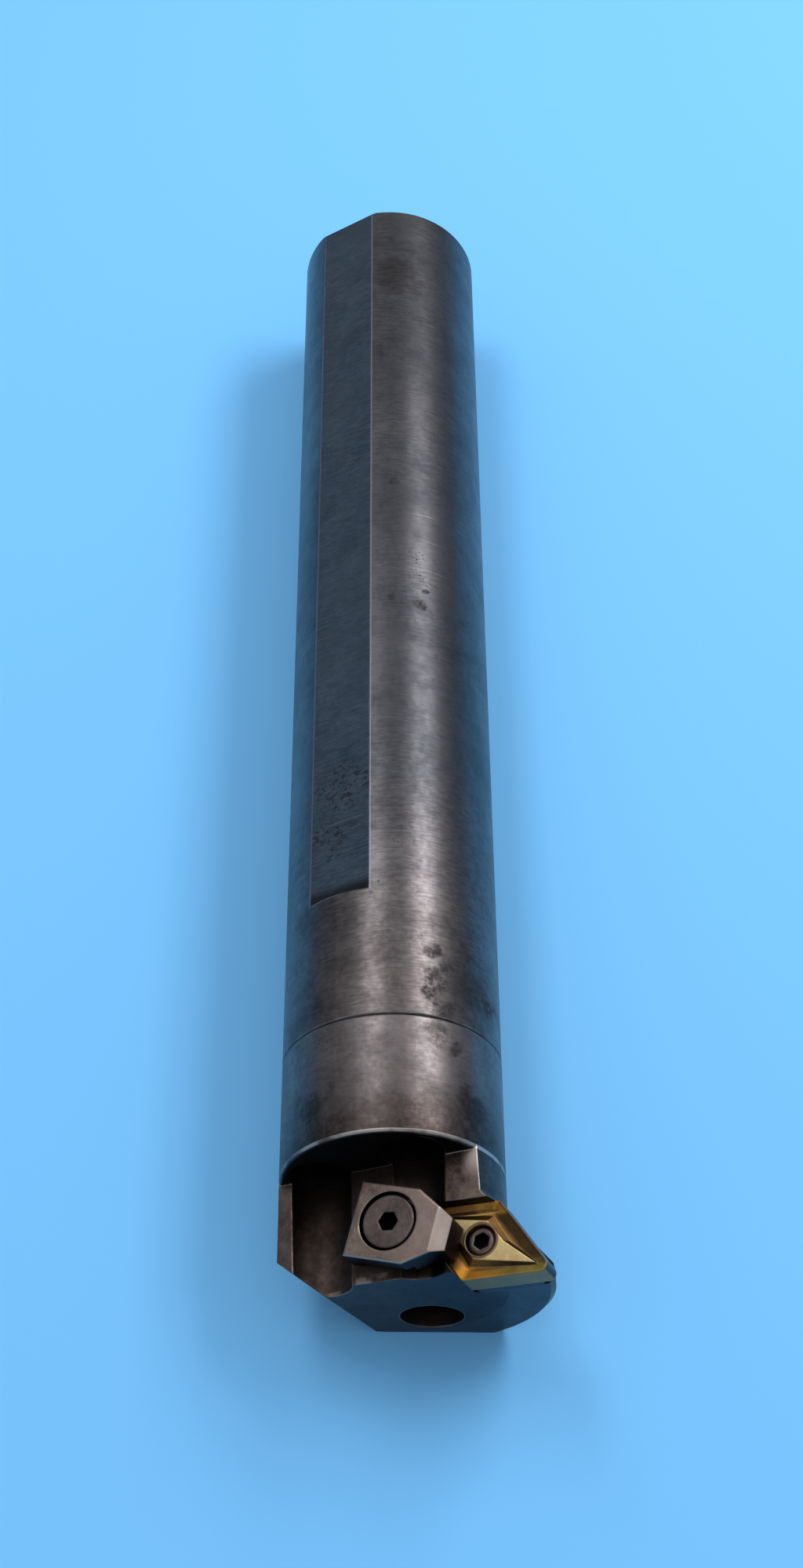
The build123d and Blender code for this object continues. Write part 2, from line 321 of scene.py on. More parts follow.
# %% [markdown]
# *Worn edges* finds edges by comparing the true normal with one rounded by the Bevel node: where
# they differ, an edge is near, and handling has rubbed it bright. Painting edges by hand would
# look as good, but would have to be done again for every piece. A noise breaks the line up.

# %% Group: worn edges
edge_outputs = {"Mask": "NodeSocketFloat", "Normal": "NodeSocketVector"}
worn_edges, given, made = new_group("worn edges", {"Width": 0.0003, "Amount": 1.0}, edge_outputs)
rounded = put(worn_edges, "ShaderNodeBevel", {"samples": 8}, Radius=given.outputs["Width"]).outputs[0]
true_normal = put(worn_edges, "ShaderNodeNewGeometry").outputs["Normal"]
match = vector_sum(worn_edges, "DOT_PRODUCT", rounded, true_normal).outputs["Value"]
edge = ramp(worn_edges, maths(worn_edges, "SUBTRACT", 1.0, match), 0.004, 0.10)
broken = ramp(worn_edges, noise(worn_edges, 420.0, 4.0), 0.36, 0.62, 0.25, 1.0)
worn_edges.links.new(times(worn_edges, edge, broken, given.outputs["Amount"]), made.inputs["Mask"])
worn_edges.links.new(rounded, made.inputs["Normal"])

# %% [markdown]
# *Stain* is a cloudy mask for oil and heat marks. One noise alone looks like a computer cloud, so
# three sizes are added: big drifts, blotches of a few millimetres, and grain. Cover says how
# much of the surface is stained, and Soft how gently a stain ends.

# %% Group: stain
stain, given, made = new_group("stain", {"Scale": 60.0, "Cover": 0.5, "Soft": 0.2}, MASK)
total = 0.0
for finer_by, share in ((1.0, 0.45), (4.3, 0.33), (17.0, 0.22)):
    scale = times(stain, given.outputs["Scale"], finer_by)
    cloud = put(
        stain, "ShaderNodeTexNoise", _0=place_of(stain), Scale=scale, Detail=3.0, Roughness=0.6
    )
    total = plus(stain, total, times(stain, cloud.outputs["Fac"], share))
bare_share = maths(stain, "SUBTRACT", 1.0, given.outputs["Cover"])
over = maths(stain, "SUBTRACT", total, bare_share)
softened = maths(stain, "DIVIDE", over, given.outputs["Soft"])
stain.links.new(maths(stain, "ADD", softened, 0.5, True), made.inputs["Mask"])


def stained(tree, scale, cover, soft):
    """Places the stain group and returns its mask."""
    return use(tree, stain, Scale=scale, Cover=cover, Soft=soft).outputs["Mask"]


# %% [markdown]
# *Pits* are small dark spots where rust has eaten in. They come in patches: a cell pattern makes
# round spots, a random value keeps some of them, and a cloud decides where a patch is.

# %% Group: pits
pits, given, made = new_group("pits", {"Scale": 1600.0, "Cover": 0.3}, MASK)
cells = put(pits, "ShaderNodeTexVoronoi", _0=place_of(pits), Scale=given.outputs["Scale"])
spot = fade(pits, cells.outputs["Distance"], 0.14, 0.36)
pick = put(pits, "ShaderNodeSeparateColor", _0=cells.outputs["Color"]).outputs[0]
cloud = plus(pits, noise(pits, 90.0, 5.0, 0.6), given.outputs["Cover"])
kept_spots = times(pits, spot, ramp(pits, pick, 0.55, 0.65), ramp(pits, cloud, 0.80, 0.98))
pits.links.new(kept_spots, made.inputs["Mask"])


def pitted(tree, scale, cover):
    """Places the pits group and returns its mask."""
    return use(tree, pits, Scale=scale, Cover=cover).outputs["Mask"]


# %% [markdown]
# *Brushed lines* are what holders and emery cloth leave round a bar: short hair lines that all
# run round it. The noise is squeezed along the bar, so its features become rings, and since the
# other two axes stay free, each line fades out after a few millimetres. A few long scratches
# are added in the same way.

# %% Group: brushed lines
line_outputs = {socket: "NodeSocketFloat" for socket in ("Mask", "Scratch", "Height")}
brushed, given, made = new_group("brushed lines", {"Amount": 1.0}, line_outputs)
hair = noise(brushed, 330.0, 3.0, 0.6, (1, 7, 1))
finer = noise(brushed, 900.0, 2.0, 0.6, (1, 5, 1))
both = plus(brushed, times(brushed, hair, 0.6), times(brushed, finer, 0.4))
patchy = ramp(brushed, noise(brushed, 35.0, 3.0), 0.35, 0.60, 0.35, 1.0)
strength = times(brushed, patchy, given.outputs["Amount"])
centred = maths(brushed, "SUBTRACT", both, 0.5)
hair_mask = maths(brushed, "ADD", times(brushed, centred, strength, 4.0), 0.5, True)
scratch = ramp(brushed, noise(brushed, 24.0, 2.0, 0.6, (1, 75, 1)), 0.67, 0.72)
scratch_ends = ramp(brushed, noise(brushed, 90.0, 2.0), 0.50, 0.64)
scratch = times(brushed, scratch, scratch_ends, given.outputs["Amount"])
height = plus(brushed, times(brushed, both, strength), times(brushed, scratch, -0.4))
brushed.links.new(hair_mask, made.inputs["Mask"])
brushed.links.new(scratch, made.inputs["Scratch"])
brushed.links.new(height, made.inputs["Height"])

# %% [markdown]
# *Patch* is one soft patch round a point, for a mark that is in a certain place, such as a spot
# of rust where a finger used to hold the bar. The distance is stretched and shrunk by a noise,
# so the outline isn't a circle. `patches` places several and joins them.

# %% Group: patch
patch, given, made = new_group("patch", {"Centre": (0.0, 0.0, 0.0), "Radius": 0.005}, MASK)
centre, radius = given.outputs["Centre"], given.outputs["Radius"]
distance = vector_sum(patch, "DISTANCE", place_of(patch), centre).outputs["Value"]
uneven = ramp(patch, noise(patch, 230.0, 3.0), 0.35, 0.65, 0.65, 1.5)
soft_patch = fade(patch, times(patch, distance, uneven), times(patch, radius, 0.2), radius)
patch.links.new(soft_patch, made.inputs["Mask"])


def patches(tree, places):
    """One mask with a patch for each place: x, y, z and radius, in millimetres."""
    masks = []
    for x, y, z, radius in places:
        placed = use(tree, patch, Centre=Vector((x, y, z)) * MM, Radius=radius * MM)
        masks.append(placed.outputs["Mask"])
    return most(tree, *masks)


# %% [markdown]
# *Socket dirt and shade* is the oil and dust in the hexagon socket of a screw, with painted shade
# added. A socket is dark because it is dirty, and because it is deep and light that reaches in
# doesn't come out, which is painted here as shade. The mask takes in what is near the screw's
# axis and lies lower than the top of its head.

# %% Group: socket dirt and painted shade
screw_dials = {
    "Axis": (0.0, 0.0, 1.0),
    "Centre": (0.0, 0.0, 0.0),
    "Top": 0.0,
    "Across flats": 3.0,
    "Depth": 0.5,
}
socket_dirt_and_shade, given, made = new_group("socket dirt and shade", screw_dials, MASK)
axis, centre, top, across_flats, depth = (given.outputs[dial] for dial in screw_dials)
off_axis = away_from(socket_dirt_and_shade, axis, centre)
near, far = times(socket_dirt_and_shade, across_flats, 0.56), times(socket_dirt_and_shade, across_flats, 0.60)
under_top = maths(socket_dirt_and_shade, "SUBTRACT", top, along(socket_dirt_and_shade, axis))
deep = ramp(socket_dirt_and_shade, under_top, times(socket_dirt_and_shade, depth, 0.5), depth)
# Dirt and painted shade: the deep part of the socket near the axis is blackened.
socket_darkening = times(socket_dirt_and_shade, fade(socket_dirt_and_shade, off_axis, near, far), deep)
socket_dirt_and_shade.links.new(socket_darkening, made.inputs["Mask"])


def darken_socket(tree, colour, axis, centre, top, across_flats, depth):
    """Blackens a screw's socket, as dirt and painted shade; centre is in metres, the other sizes in
    millimetres.
    """
    dials = {"Axis": axis, "Centre": centre, "Top": top, "Across flats": across_flats, "Depth": depth}
    return mix(tree, use(tree, socket_dirt_and_shade, **dials).outputs["Mask"], colour, (0.006, 0.005, 0.005))


# %% [markdown]
# ## Where things are on the bar
# The flat is ground, the pocket is stained with oil, and the front face is a clean milled plane.
# The bar lies rolled by 30 degrees, so its own "up" and "tip side" are tilted. The seat's normal
# and the insert's hole come from the joint that turns the lock pin, and the clamp screw's place
# from its own joint, so they follow the CAD. The insert's front edge runs along
# `front_edge_way`. The sizes are in millimetres, measured from the joint of shank and head.

# %% Directions and sizes
roll = radians(30.0)
flat_up = Vector((-sin(roll), 0, cos(roll)))
tip_side = Vector((cos(roll), 0, sin(roll)))
forward = Vector((0, -1, 0))
joint_of = {joint["name"]: joint for joint in frame["joints"]}
seat_up = Vector(joint_of["lock_pin_turn"]["axis"])
seat_hole = Vector(joint_of["lock_pin_turn"]["pos_m"])
screw_place = Vector(joint_of["clamp_screw_turn"]["pos_m"])
front_edge_way = Vector((0.9271, -0.0522, 0.3711))
back_way = seat_up.cross(front_edge_way)

bar_radius = 19.05
flat_start, flat_half_width = 25.6, 6.05
shoulder, front_face = 22.0, 41.3
print("seat normal:", [round(v, 3) for v in seat_up], "shoulder at", shoulder, "mm")

# %% [markdown]
# ## Making and giving a finish
# Steel and coated carbide are both a Principled shader at full Metallic, where the base colour
# is the colour of the reflection. `feed` connects what changes over the surface: colour,
# roughness and a fine bump. `dress` gives the finished material to a CAD node, whose mesh and
# place are left alone.

# %% Finish helpers
def new_metal(name, roughness):
    """A material whose Principled shader is plain metal; returns it, its tree and its shader."""
    material = bpy.data.materials.new(name)
    material.use_nodes = True
    tree = material.node_tree
    shader = tree.nodes["Principled BSDF"]
    shader.inputs["Metallic"].default_value = 1.0
    shader.inputs["Roughness"].default_value = roughness
    return material, tree, shader


def feed(tree, shader, colour, roughness, height, strength, distance, normal):
    """Connects the finished colour, roughness and bump to the shader."""
    tree.links.new(colour, shader.inputs["Base Color"])
    tree.links.new(roughness, shader.inputs["Roughness"])
    bump = put(
        tree, "ShaderNodeBump", Strength=strength, Distance=distance, Height=height, Normal=normal
    )
    tree.links.new(bump.outputs[0], shader.inputs["Normal"])


def dress(node, material):
    """Puts a material on a CAD node."""
    piece = frame["nodes"][node]
    piece.data.materials.clear()
    piece.data.materials.append(material)
    print(node, "wears", material.name)


# %% [markdown]
# ## The shank
# Bare steel that has been slid in and out of holders for years: dark grey and a little blue, and
# browned by cutting oil towards the head. Two clouded colours do that, and the distance from the
# joint says how much there is of each.

# %% Shank: bare steel
shank_steel, tree, shader = new_metal("shank steel", 0.36)
lines = use(tree, brushed, Amount=1.0)
edges = use(tree, worn_edges, Width=0.0005, Amount=0.9)
clouds = stained(tree, 46.0, 0.50, 0.26)
specks = pitted(tree, 1500.0, 0.27)
back = along(tree, -forward)
across = along(tree, tip_side)

cool_steel = mix(tree, clouds, (0.042, 0.046, 0.052), (0.090, 0.091, 0.098))
brown_steel = mix(tree, clouds, (0.056, 0.048, 0.046), (0.142, 0.127, 0.124))
brown_reach = 60.0
steel = mix(tree, fade(tree, back, 2.0, brown_reach, 0.85), cool_steel, brown_steel)
print("shank: bare steel, brown within", brown_reach, "mm of the joint")

# %% [markdown]
# Rust has left dark spots where fingers and chips touched the bar. They are listed one by one, with
# a size each, because they are in certain places and not all over. Each spot has two parts: a
# thin dark haze round it, and a ragged core.

# %% Shank: rust
rust_places = [
    (8.1, 7.4, 17.2, 5.4),
    (10.2, 10.6, 16.1, 5.0),
    (7.2, 13.0, 17.6, 3.0),
    (14.5, 8.6, 12.3, 6.5),
    (9.3, 2.0, 16.6, 3.8),
    (6.0, 91.6, 18.1, 1.5),
    (7.1, 95.6, 17.7, 1.1),
    (0.3, 93.0, 19.0, 1.5),
    (0.8, 124.5, 19.0, 1.3),
    (0.9, 191.5, 19.0, 5.0),
    (-0.3, 185.2, 19.0, 5.0),
]
haze_places = [(12.6, 9.0, 14.3, 8.5), (0.3, 188.5, 19.0, 9.5)]
rust = patches(tree, rust_places)
haze = most(tree, rust, patches(tree, haze_places))
haze = times(tree, haze, stained(tree, 150.0, 0.55, 0.34), 0.9)
steel = mix(tree, haze, steel, (0.032, 0.029, 0.030))
ragged = ramp(tree, stained(tree, 330.0, 0.50, 0.24), 0.25, 0.95)
rust = times(tree, ramp(tree, rust, 0.05, 0.75), ragged)
steel = mix(tree, times(tree, rust, 0.55), steel, (0.018, 0.016, 0.017))
print("rust spots:", len(rust_places))

# %% [markdown]
# The clamping flat is ground along the bar, and holder screws have pressed on it, so it is cooler
# and darker, almost slate. Its two long edges are rubbed bright and rust has pitted its front part.
# The corner where the flat ends is painted dark, as the reflection of the shaded end wall in the
# flat. It needs no material of its own: the distance from the middle of the flat says what is
# flat and what is round.

# %% Shank: the flat
from_middle = maths(tree, "ABSOLUTE", across)
above_axis = maths(tree, "GREATER_THAN", along(tree, flat_up), 0.0)
flat_length = times(tree, maths(tree, "GREATER_THAN", back, flat_start), above_axis)
on_flat = times(tree, flat_length, maths(tree, "LESS_THAN", from_middle, flat_half_width))
by_edge = band(tree, from_middle, flat_half_width - 0.1, flat_half_width + 0.2, 0.12)
flat_edge = times(tree, flat_length, by_edge)

flat_clouds = stained(tree, 110.0, 0.50, 0.30)
flat_steel = mix(tree, flat_clouds, (0.046, 0.072, 0.102), (0.080, 0.110, 0.146))
flat_pits = patches(tree, [(-9.3, 49.0, 16.8, 9.0), (-11.5, 40.0, 15.4, 7.0)])
flat_pits = times(tree, flat_pits, ramp(tree, noise(tree, 1000.0, 4.0, 0.7), 0.52, 0.58))
flat_steel = mix(tree, times(tree, flat_pits, 0.8), flat_steel, (0.022, 0.024, 0.028))
# Painted shade: the flat next to its end wall is darkened as the reflection of that shaded wall.
corner_shade = times(tree, fade(tree, back, flat_start + 1.0, flat_start + 3.4), 0.9)
flat_steel = mix(tree, corner_shade, flat_steel, (0.020, 0.018, 0.020))
print("flat starts at", flat_start, "mm and is", 2 * flat_half_width, "mm wide")

# %% [markdown]
# Last come the marks that lie over everything: hair lines, pits, scratches and bright edges. The
# order matters, because each mix covers what is under it. Rusty spots are also rougher than the
# rest and lie a little lower, which the roughness and the bump say.

# %% Shank: wear over everything
colour = mix(tree, on_flat, steel, flat_steel)
colour = shaded(tree, colour, ramp(tree, lines.outputs["Mask"], 0.0, 1.0, 0.80, 1.20))
colour = mix(tree, times(tree, specks, 0.7), colour, (0.030, 0.027, 0.027))
colour = mix(tree, times(tree, lines.outputs["Scratch"], 0.30), colour, (0.30, 0.30, 0.31))
colour = mix(tree, times(tree, flat_edge, 0.45), colour, (0.30, 0.30, 0.34))
colour = mix(tree, times(tree, edges.outputs["Mask"], 0.8), colour, (0.36, 0.36, 0.37))
rusty = most(tree, rust, specks)
rough = plus(tree, ramp(tree, clouds, 0.0, 1.0, 0.40, 0.33), times(tree, rusty, 0.25))
grain = plus(tree, lines.outputs["Height"], times(tree, noise(tree, 2500.0, 2.0), 0.3))
grain = maths(tree, "SUBTRACT", grain, times(tree, rusty, 0.8))
feed(tree, shader, colour, rough, grain, 0.30, 0.00003, edges.outputs["Normal"])
dress("shank", shank_steel)

# %% [markdown]
# ## The cutting head
# One block of steel with four different surfaces: the round outside, the pocket, the shoulder's
# rim and the front face. The outside carries on from the shank, a little lighter, and is burnt
# brown towards the shoulder, where hot chips fly. A few oily thumb marks are placed one by one.

# %% Head: the round outside
head_steel, tree, shader = new_metal("head steel", 0.38)
edges = use(tree, worn_edges, Width=0.00045, Amount=1.0)
lines = use(tree, brushed, Amount=0.7)
clouds = stained(tree, 60.0, 0.50, 0.24)
ahead = along(tree, forward)
across = along(tree, tip_side)

outside = mix(tree, clouds, (0.088, 0.080, 0.080), (0.162, 0.148, 0.147))
scorch = plus(tree, times(tree, stained(tree, 70.0, 0.56, 0.30), 0.75), 0.25)
scorch = times(tree, ramp(tree, ahead, shoulder - 15.0, shoulder - 1.0), scorch)
outside = mix(tree, scorch, outside, (0.034, 0.026, 0.023))
oil_places = [
    (8.2, -2.5, 17.2, 4.0),
    (11.0, -4.5, 15.5, 3.0),
    (-13.0, -14.0, 13.9, 6.0),
    (14.0, -15.0, 12.9, 6.0),
]
oil = times(tree, patches(tree, oil_places), stained(tree, 190.0, 0.5, 0.4))
outside = mix(tree, ramp(tree, oil, 0.15, 0.6, 0.0, 0.75), outside, (0.024, 0.020, 0.019))
outside = shaded(tree, outside, ramp(tree, lines.outputs["Mask"], 0.0, 1.0, 0.85, 1.15))
print("head: outside, with", len(oil_places), "oil marks")

# %% [markdown]
# The front face is a bare milled plane. It looks at the floor, and its colour holds a painted
# reflection of that floor in shade: grey on the clamp's side and a darker painted blue under the
# insert.

# %% Head: the front face
grey_front = mix(tree, clouds, (0.058, 0.060, 0.066), (0.092, 0.086, 0.088))
# Painted reflection: the dark blue is the shaded floor mirrored in the front face, deepest under the
# insert.
front_shaded_floor_reflection = mix(tree, clouds, (0.018, 0.029, 0.046), (0.030, 0.042, 0.060))
front_with_painted_reflection = mix(tree, ramp(tree, across, -6.0, 16.0), grey_front, front_shaded_floor_reflection)
faces_forward = facing(tree, forward)
on_front = times(tree, ramp(tree, faces_forward, 0.90, 0.97), ramp(tree, ahead, 36.0, 38.0))
print("head: front face")

# %% [markdown]
# Everything inside the bar's own round, ahead of the shoulder, belongs to the pocket. The seat deck
# reaches out past that round under the insert, so surfaces that face along the seat's normal
# count as well. The pocket is nearly black with old cutting oil, and its darkness is partly
# painted shade of the hollow. Painted shade makes it darkest on the wall under the shoulder and in
# the insert's own seat. Painted light makes it lighter brown towards the open front, where chips
# have also scoured it.

# %% Head: the oily pocket, with painted shade
PAINTED_SHADE_BLACK = (0.012, 0.009, 0.008)
ahead_of_shoulder = ramp(tree, ahead, shoulder - 0.8, shoulder - 0.4)
from_axis = away_from(tree, forward)
inside = times(tree, fade(tree, from_axis, bar_radius - 0.25, bar_radius - 0.10), ahead_of_shoulder)
level = times(tree, ramp(tree, facing(tree, seat_up), 0.93, 0.97), ahead_of_shoulder)
scoured = stained(tree, 130.0, 0.47, 0.26)

# The pocket's dark browns are oil stain and also painted shade of the hollow.
pocket = mix(tree, scoured, (0.022, 0.017, 0.014), (0.064, 0.048, 0.040))
scoured_and_lit_brown = mix(tree, scoured, (0.045, 0.034, 0.030), (0.120, 0.094, 0.084))
# Painted light: lighter towards the open front, darker towards the shoulder.
pocket = mix(tree, ramp(tree, ahead, 29.0, 40.0, 0.0, 0.45), pocket, scoured_and_lit_brown)
at_shoulder = ramp(tree, ahead, shoulder + 0.6, shoulder + 0.2)
# Painted shade on the back wall under the shoulder.
back_wall_shade = times(tree, ramp(tree, faces_forward, 0.6, 0.9), at_shoulder)
pocket = mix(tree, back_wall_shade, pocket, (0.008, 0.006, 0.006))
# Painted shade under the shoulder, stopping at the ledge.
shoulder_shade_reach = fade(tree, ahead, shoulder, shoulder + 12.0, 0.55)
shoulder_shade = times(tree, shoulder_shade_reach, fade(tree, across, 12.0, 12.8))
pocket = mix(tree, shoulder_shade, pocket, PAINTED_SHADE_BLACK)
# The insert's own seat, painted near-black as shade under the insert.
own_seat = times(tree, ramp(tree, across, 8.5, 9.5), ramp(tree, ahead, 30.5, 31.5))
pocket = mix(tree, own_seat, pocket, PAINTED_SHADE_BLACK)
print("head: pocket")

# %% [markdown]
# Three places in the pocket are rubbed clean again and again: the ledge behind the insert, which
# is bright at its outer corner, the narrow strip on the far side, and the lip of the deck in front.

# %% Head: the ledge, the strip and the lip
on_ledge = ramp(tree, across, 12.0, 12.8)
ledge_steel = mix(tree, scoured, (0.038, 0.026, 0.022), (0.150, 0.115, 0.098))
outer_corner = times(tree, ramp(tree, across, 15.4, 17.9), ramp(tree, ahead, 23.0, 28.0, 0.8, 0.05))
ledge_steel = mix(tree, outer_corner, ledge_steel, (0.400, 0.345, 0.310))
pocket = mix(tree, times(tree, on_ledge, fade(tree, ahead, 30.5, 31.5), level), pocket, ledge_steel)

on_strip = fade(tree, across, -14.4, -13.8)
strip_steel = mix(tree, scoured, (0.040, 0.030, 0.026), (0.110, 0.088, 0.080))
pocket = mix(tree, times(tree, on_strip, level), pocket, strip_steel)

lip = times(tree, band(tree, ahead, front_face - 1.0, front_face + 0.3, 0.15), level)
lip_worn = ramp(tree, noise(tree, 260.0, 4.0), 0.42, 0.56)
lip = times(tree, lip, lip_worn, fade(tree, across, 8.0, 9.0))
pocket = mix(tree, times(tree, lip, 0.7), pocket, (0.200, 0.170, 0.155))
print("head: ledge, strip and lip")

# %% [markdown]
# The shoulder's rim is the edge that hands and holders touch most, so it gets a bright worn line
# of its own, and a painted highlight makes it brightest where it faces up. Other edges are rubbed
# too, but hardly any inside the pocket, where nothing reaches them.

# %% Head: edges, rim and the finished metal
colour = mix(tree, most(tree, inside, level), outside, pocket)
colour = mix(tree, on_front, colour, front_with_painted_reflection)
specks = times(tree, pitted(tree, 1500.0, 0.31), 0.6)
colour = mix(tree, specks, colour, (0.025, 0.020, 0.018))

open_edges = most(tree, on_ledge, on_strip, ramp(tree, ahead, front_face - 1.7, front_face - 0.7))
rubbed = most(tree, ramp(tree, inside, 0.0, 1.0, 0.75, 0.06), times(tree, open_edges, 0.7))
seat_spared = ramp(tree, own_seat, 0.0, 1.0, 1.0, 0.1)
rubbed = times(tree, rubbed, ramp(tree, across, 18.0, 20.0, 1.0, 0.1), seat_spared)
colour = mix(tree, times(tree, edges.outputs["Mask"], rubbed), colour, (0.36, 0.33, 0.31))

rim_lengthways = band(tree, ahead, shoulder - 0.6, shoulder + 0.1, 0.1)
rim_outwards = band(tree, from_axis, bar_radius - 0.33, bar_radius + 0.15, 0.12)
rim_worn = ramp(tree, noise(tree, 200.0, 4.0), 0.35, 0.60, 0.2, 1.0)
# Worn rim with a painted highlight: full strength on the upper side, weaker towards the lower side.
rim_wear_and_highlight = times(tree, rim_lengthways, rim_outwards, rim_worn, ramp(tree, across, -15.0, -4.0, 0.35, 1.0))
colour = mix(tree, times(tree, rim_wear_and_highlight, 0.9), colour, (0.50, 0.45, 0.42))

rough = plus(tree, ramp(tree, clouds, 0.0, 1.0, 0.43, 0.35), times(tree, inside, 0.12))
fine_grain = times(tree, noise(tree, 1500.0, 3.0), 0.8)
grain = plus(tree, times(tree, lines.outputs["Height"], 0.7), fine_grain)
feed(tree, shader, colour, rough, grain, 0.28, 0.00003, edges.outputs["Normal"])
dress("cutting_head", head_steel)

# %% [markdown]
# ## Clamp, screws and pin
# Handled steel comes in two shades each: a clouded mix of dark and light, a few pits, and bright
# edges. One function makes it for every small piece, with that piece's own colours, and hands
# back the colour so that a piece may go on from there.

# %% Small steel pieces: the common finish
def small_steel(name, dark, light, roughness, wear, scale=150.0):
    """Handled steel in two shades with bright edges; returns the parts that a piece may change."""
    material, tree, shader = new_metal(name, roughness)
    edges = use(tree, worn_edges, Width=0.0004, Amount=wear)
    clouds = stained(tree, scale, 0.50, 0.30)
    bright = tuple(min(1.0, 1.7 * channel) for channel in light)
    colour = mix(tree, clouds, dark, light)
    colour = mix(tree, times(tree, pitted(tree, 1900.0, 0.31), 0.5), colour, (0.035, 0.028, 0.025))
    colour = mix(tree, times(tree, edges.outputs["Mask"], 0.7), colour, bright)
    rough = ramp(tree, clouds, 0.0, 1.0, roughness + 0.06, roughness - 0.04)
    feed(tree, shader, colour, rough, noise(tree, 2200.0, 3.0), 0.3, 0.00002, edges.outputs["Normal"])
    return material, tree, shader, colour


def top_of(node, way):
    """The furthest point of a piece along a direction, in millimetres."""
    return max(vertex.co.dot(way) for vertex in frame["nodes"][node].data.vertices) / MM


print("top of the clamp:", round(top_of("clamp", seat_up), 2), "mm along the seat's normal")

# %% [markdown]
# The clamp is the lightest piece, warm grey, and lighter from its heel to its nose. Its walls are
# painted dark just below a bright top edge, as the painted reflection of the dark pocket, and the
# wall of the screw's hole is painted dark as shade in the narrow gap. The sloping nose carries a
# painted highlight that makes it the brightest plane on the tool, and its blunt end is painted
# dark as shade between the nose and the insert.

# %% Clamp
clamp_steel, tree, shader, colour = small_steel(
    "clamp steel", (0.074, 0.053, 0.044), (0.215, 0.170, 0.143), 0.42, 0.8, 210.0
)
clamp_forward = front_edge_way * 0.97 - back_way * 0.25
to_nose = ramp(tree, along(tree, clamp_forward, screw_place), -6.0, 11.0, 0.0, 0.55)
heel_to_nose_tone = mix(tree, noise(tree, 350.0, 4.0), (0.150, 0.110, 0.092), (0.385, 0.312, 0.270))
colour = mix(tree, to_nose, colour, heel_to_nose_tone)

faces_up = facing(tree, seat_up)
upright = fade(tree, maths(tree, "ABSOLUTE", faces_up), 0.2, 0.5)
under_top = maths(tree, "SUBTRACT", top_of("clamp", seat_up), along(tree, seat_up))
# Painted reflection: the walls just below the top edge are darkened as the mirrored dark pocket.
colour = mix(tree, times(tree, upright, ramp(tree, under_top, 0.1, 0.7)), colour, (0.012, 0.010, 0.011))
# Painted shade on the wall of the screw's hole, in the narrow gap round the screw.
hole_wall_shade = times(tree, upright, band(tree, away_from(tree, seat_up, screw_place), 4.4, 5.0, 0.04))
colour = mix(tree, hole_wall_shade, colour, (0.008, 0.006, 0.006))

# Painted highlight: the sloping nose facet is made the brightest plane.
nose_highlight = mix(tree, noise(tree, 300.0, 4.0), (0.25, 0.205, 0.175), (0.54, 0.465, 0.415))
colour = mix(tree, times(tree, band(tree, faces_up, 0.62, 0.80, 0.05), 0.8), colour, nose_highlight)
# Painted shade on the nose's blunt end, between the nose and the insert.
nose_end_shade = ramp(tree, facing(tree, clamp_forward), 0.85, 0.95)
colour = mix(tree, nose_end_shade, colour, (0.035, 0.026, 0.022))
tree.links.new(colour, shader.inputs["Base Color"])
dress("clamp", clamp_steel)

# %% [markdown]
# The clamp screw is a flat disc with a hexagon socket, darker than the clamp. Its outer bevel is
# painted dark as shade in the narrow gap, which draws the thin dark ring round it. The lock pin's
# bevel has rubbed against gold-coloured inserts and has a coppery shine.

# %% Clamp screw and lock pin
disc_steel, tree, shader, colour = small_steel(
    "clamp screw steel", (0.048, 0.038, 0.035), (0.118, 0.096, 0.090), 0.45, 0.2, 260.0
)
# Painted shade: the outer bevel is darkened as the shade in the gap round the screw.
outer_bevel_shade = ramp(tree, away_from(tree, seat_up, screw_place), 4.38, 4.50)
colour = mix(tree, outer_bevel_shade, colour, (0.012, 0.009, 0.009))
colour = darken_socket(tree, colour, seat_up, screw_place, top_of("clamp_screw", seat_up), 3.0, 0.5)
tree.links.new(colour, shader.inputs["Base Color"])
dress("clamp_screw", disc_steel)

pin_steel, tree, shader, colour = small_steel(
    "pin steel", (0.060, 0.046, 0.043), (0.120, 0.100, 0.095), 0.42, 0.7
)
pin_bevel = band(tree, facing(tree, seat_up), 0.4, 0.9, 0.05)
colour = mix(tree, pin_bevel, colour, (0.260, 0.165, 0.120))
colour = darken_socket(tree, colour, seat_up, seat_hole, top_of("lock_pin", seat_up), 2.5, 0.4)
tree.links.new(colour, shader.inputs["Base Color"])
dress("lock_pin", pin_steel)

# %% [markdown]
# The three head screws sit deep in their bores in a bath of old oil, and their near-black colour
# also stands for painted shade in the deep bores. The shim under the insert is bare blue-grey
# carbide. Both need no more than the common finish in other colours.

# %% Head screws and shim
# Near black: oil, and painted shade of the deep bores.
oily_shaded_screw_steel = small_steel("oily shaded screw steel", (0.012, 0.010, 0.009), (0.035, 0.028, 0.024), 0.4, 0.3)[0]
for node in ("head_screw_left", "head_screw_right", "head_screw_lower"):
    dress(node, oily_shaded_screw_steel)
shim_carbide = small_steel("shim carbide", (0.022, 0.034, 0.052), (0.040, 0.056, 0.078), 0.45, 0.3)[0]
dress("shim", shim_carbide)

# %% [markdown]
# ## The insert
# Pressed and sintered carbide with a thin gold-coloured coating. It has a pale raised middle, a
# groove round it and four edges, and use has burnt each of them differently. A texture painted
# by hand would need a flat layout of the shape. Measures do without: a point's distance from
# the hole, taken square to an edge, says which edge it belongs to.

# %% Insert: which part of the surface is which
coated, tree, shader = new_metal("gold coated carbide", 0.34)
edges = use(tree, worn_edges, Width=0.0003, Amount=0.8)
clouds = stained(tree, 200.0, 0.5, 0.4)
stripes = noise(tree, 900.0, 2.0, 0.5)

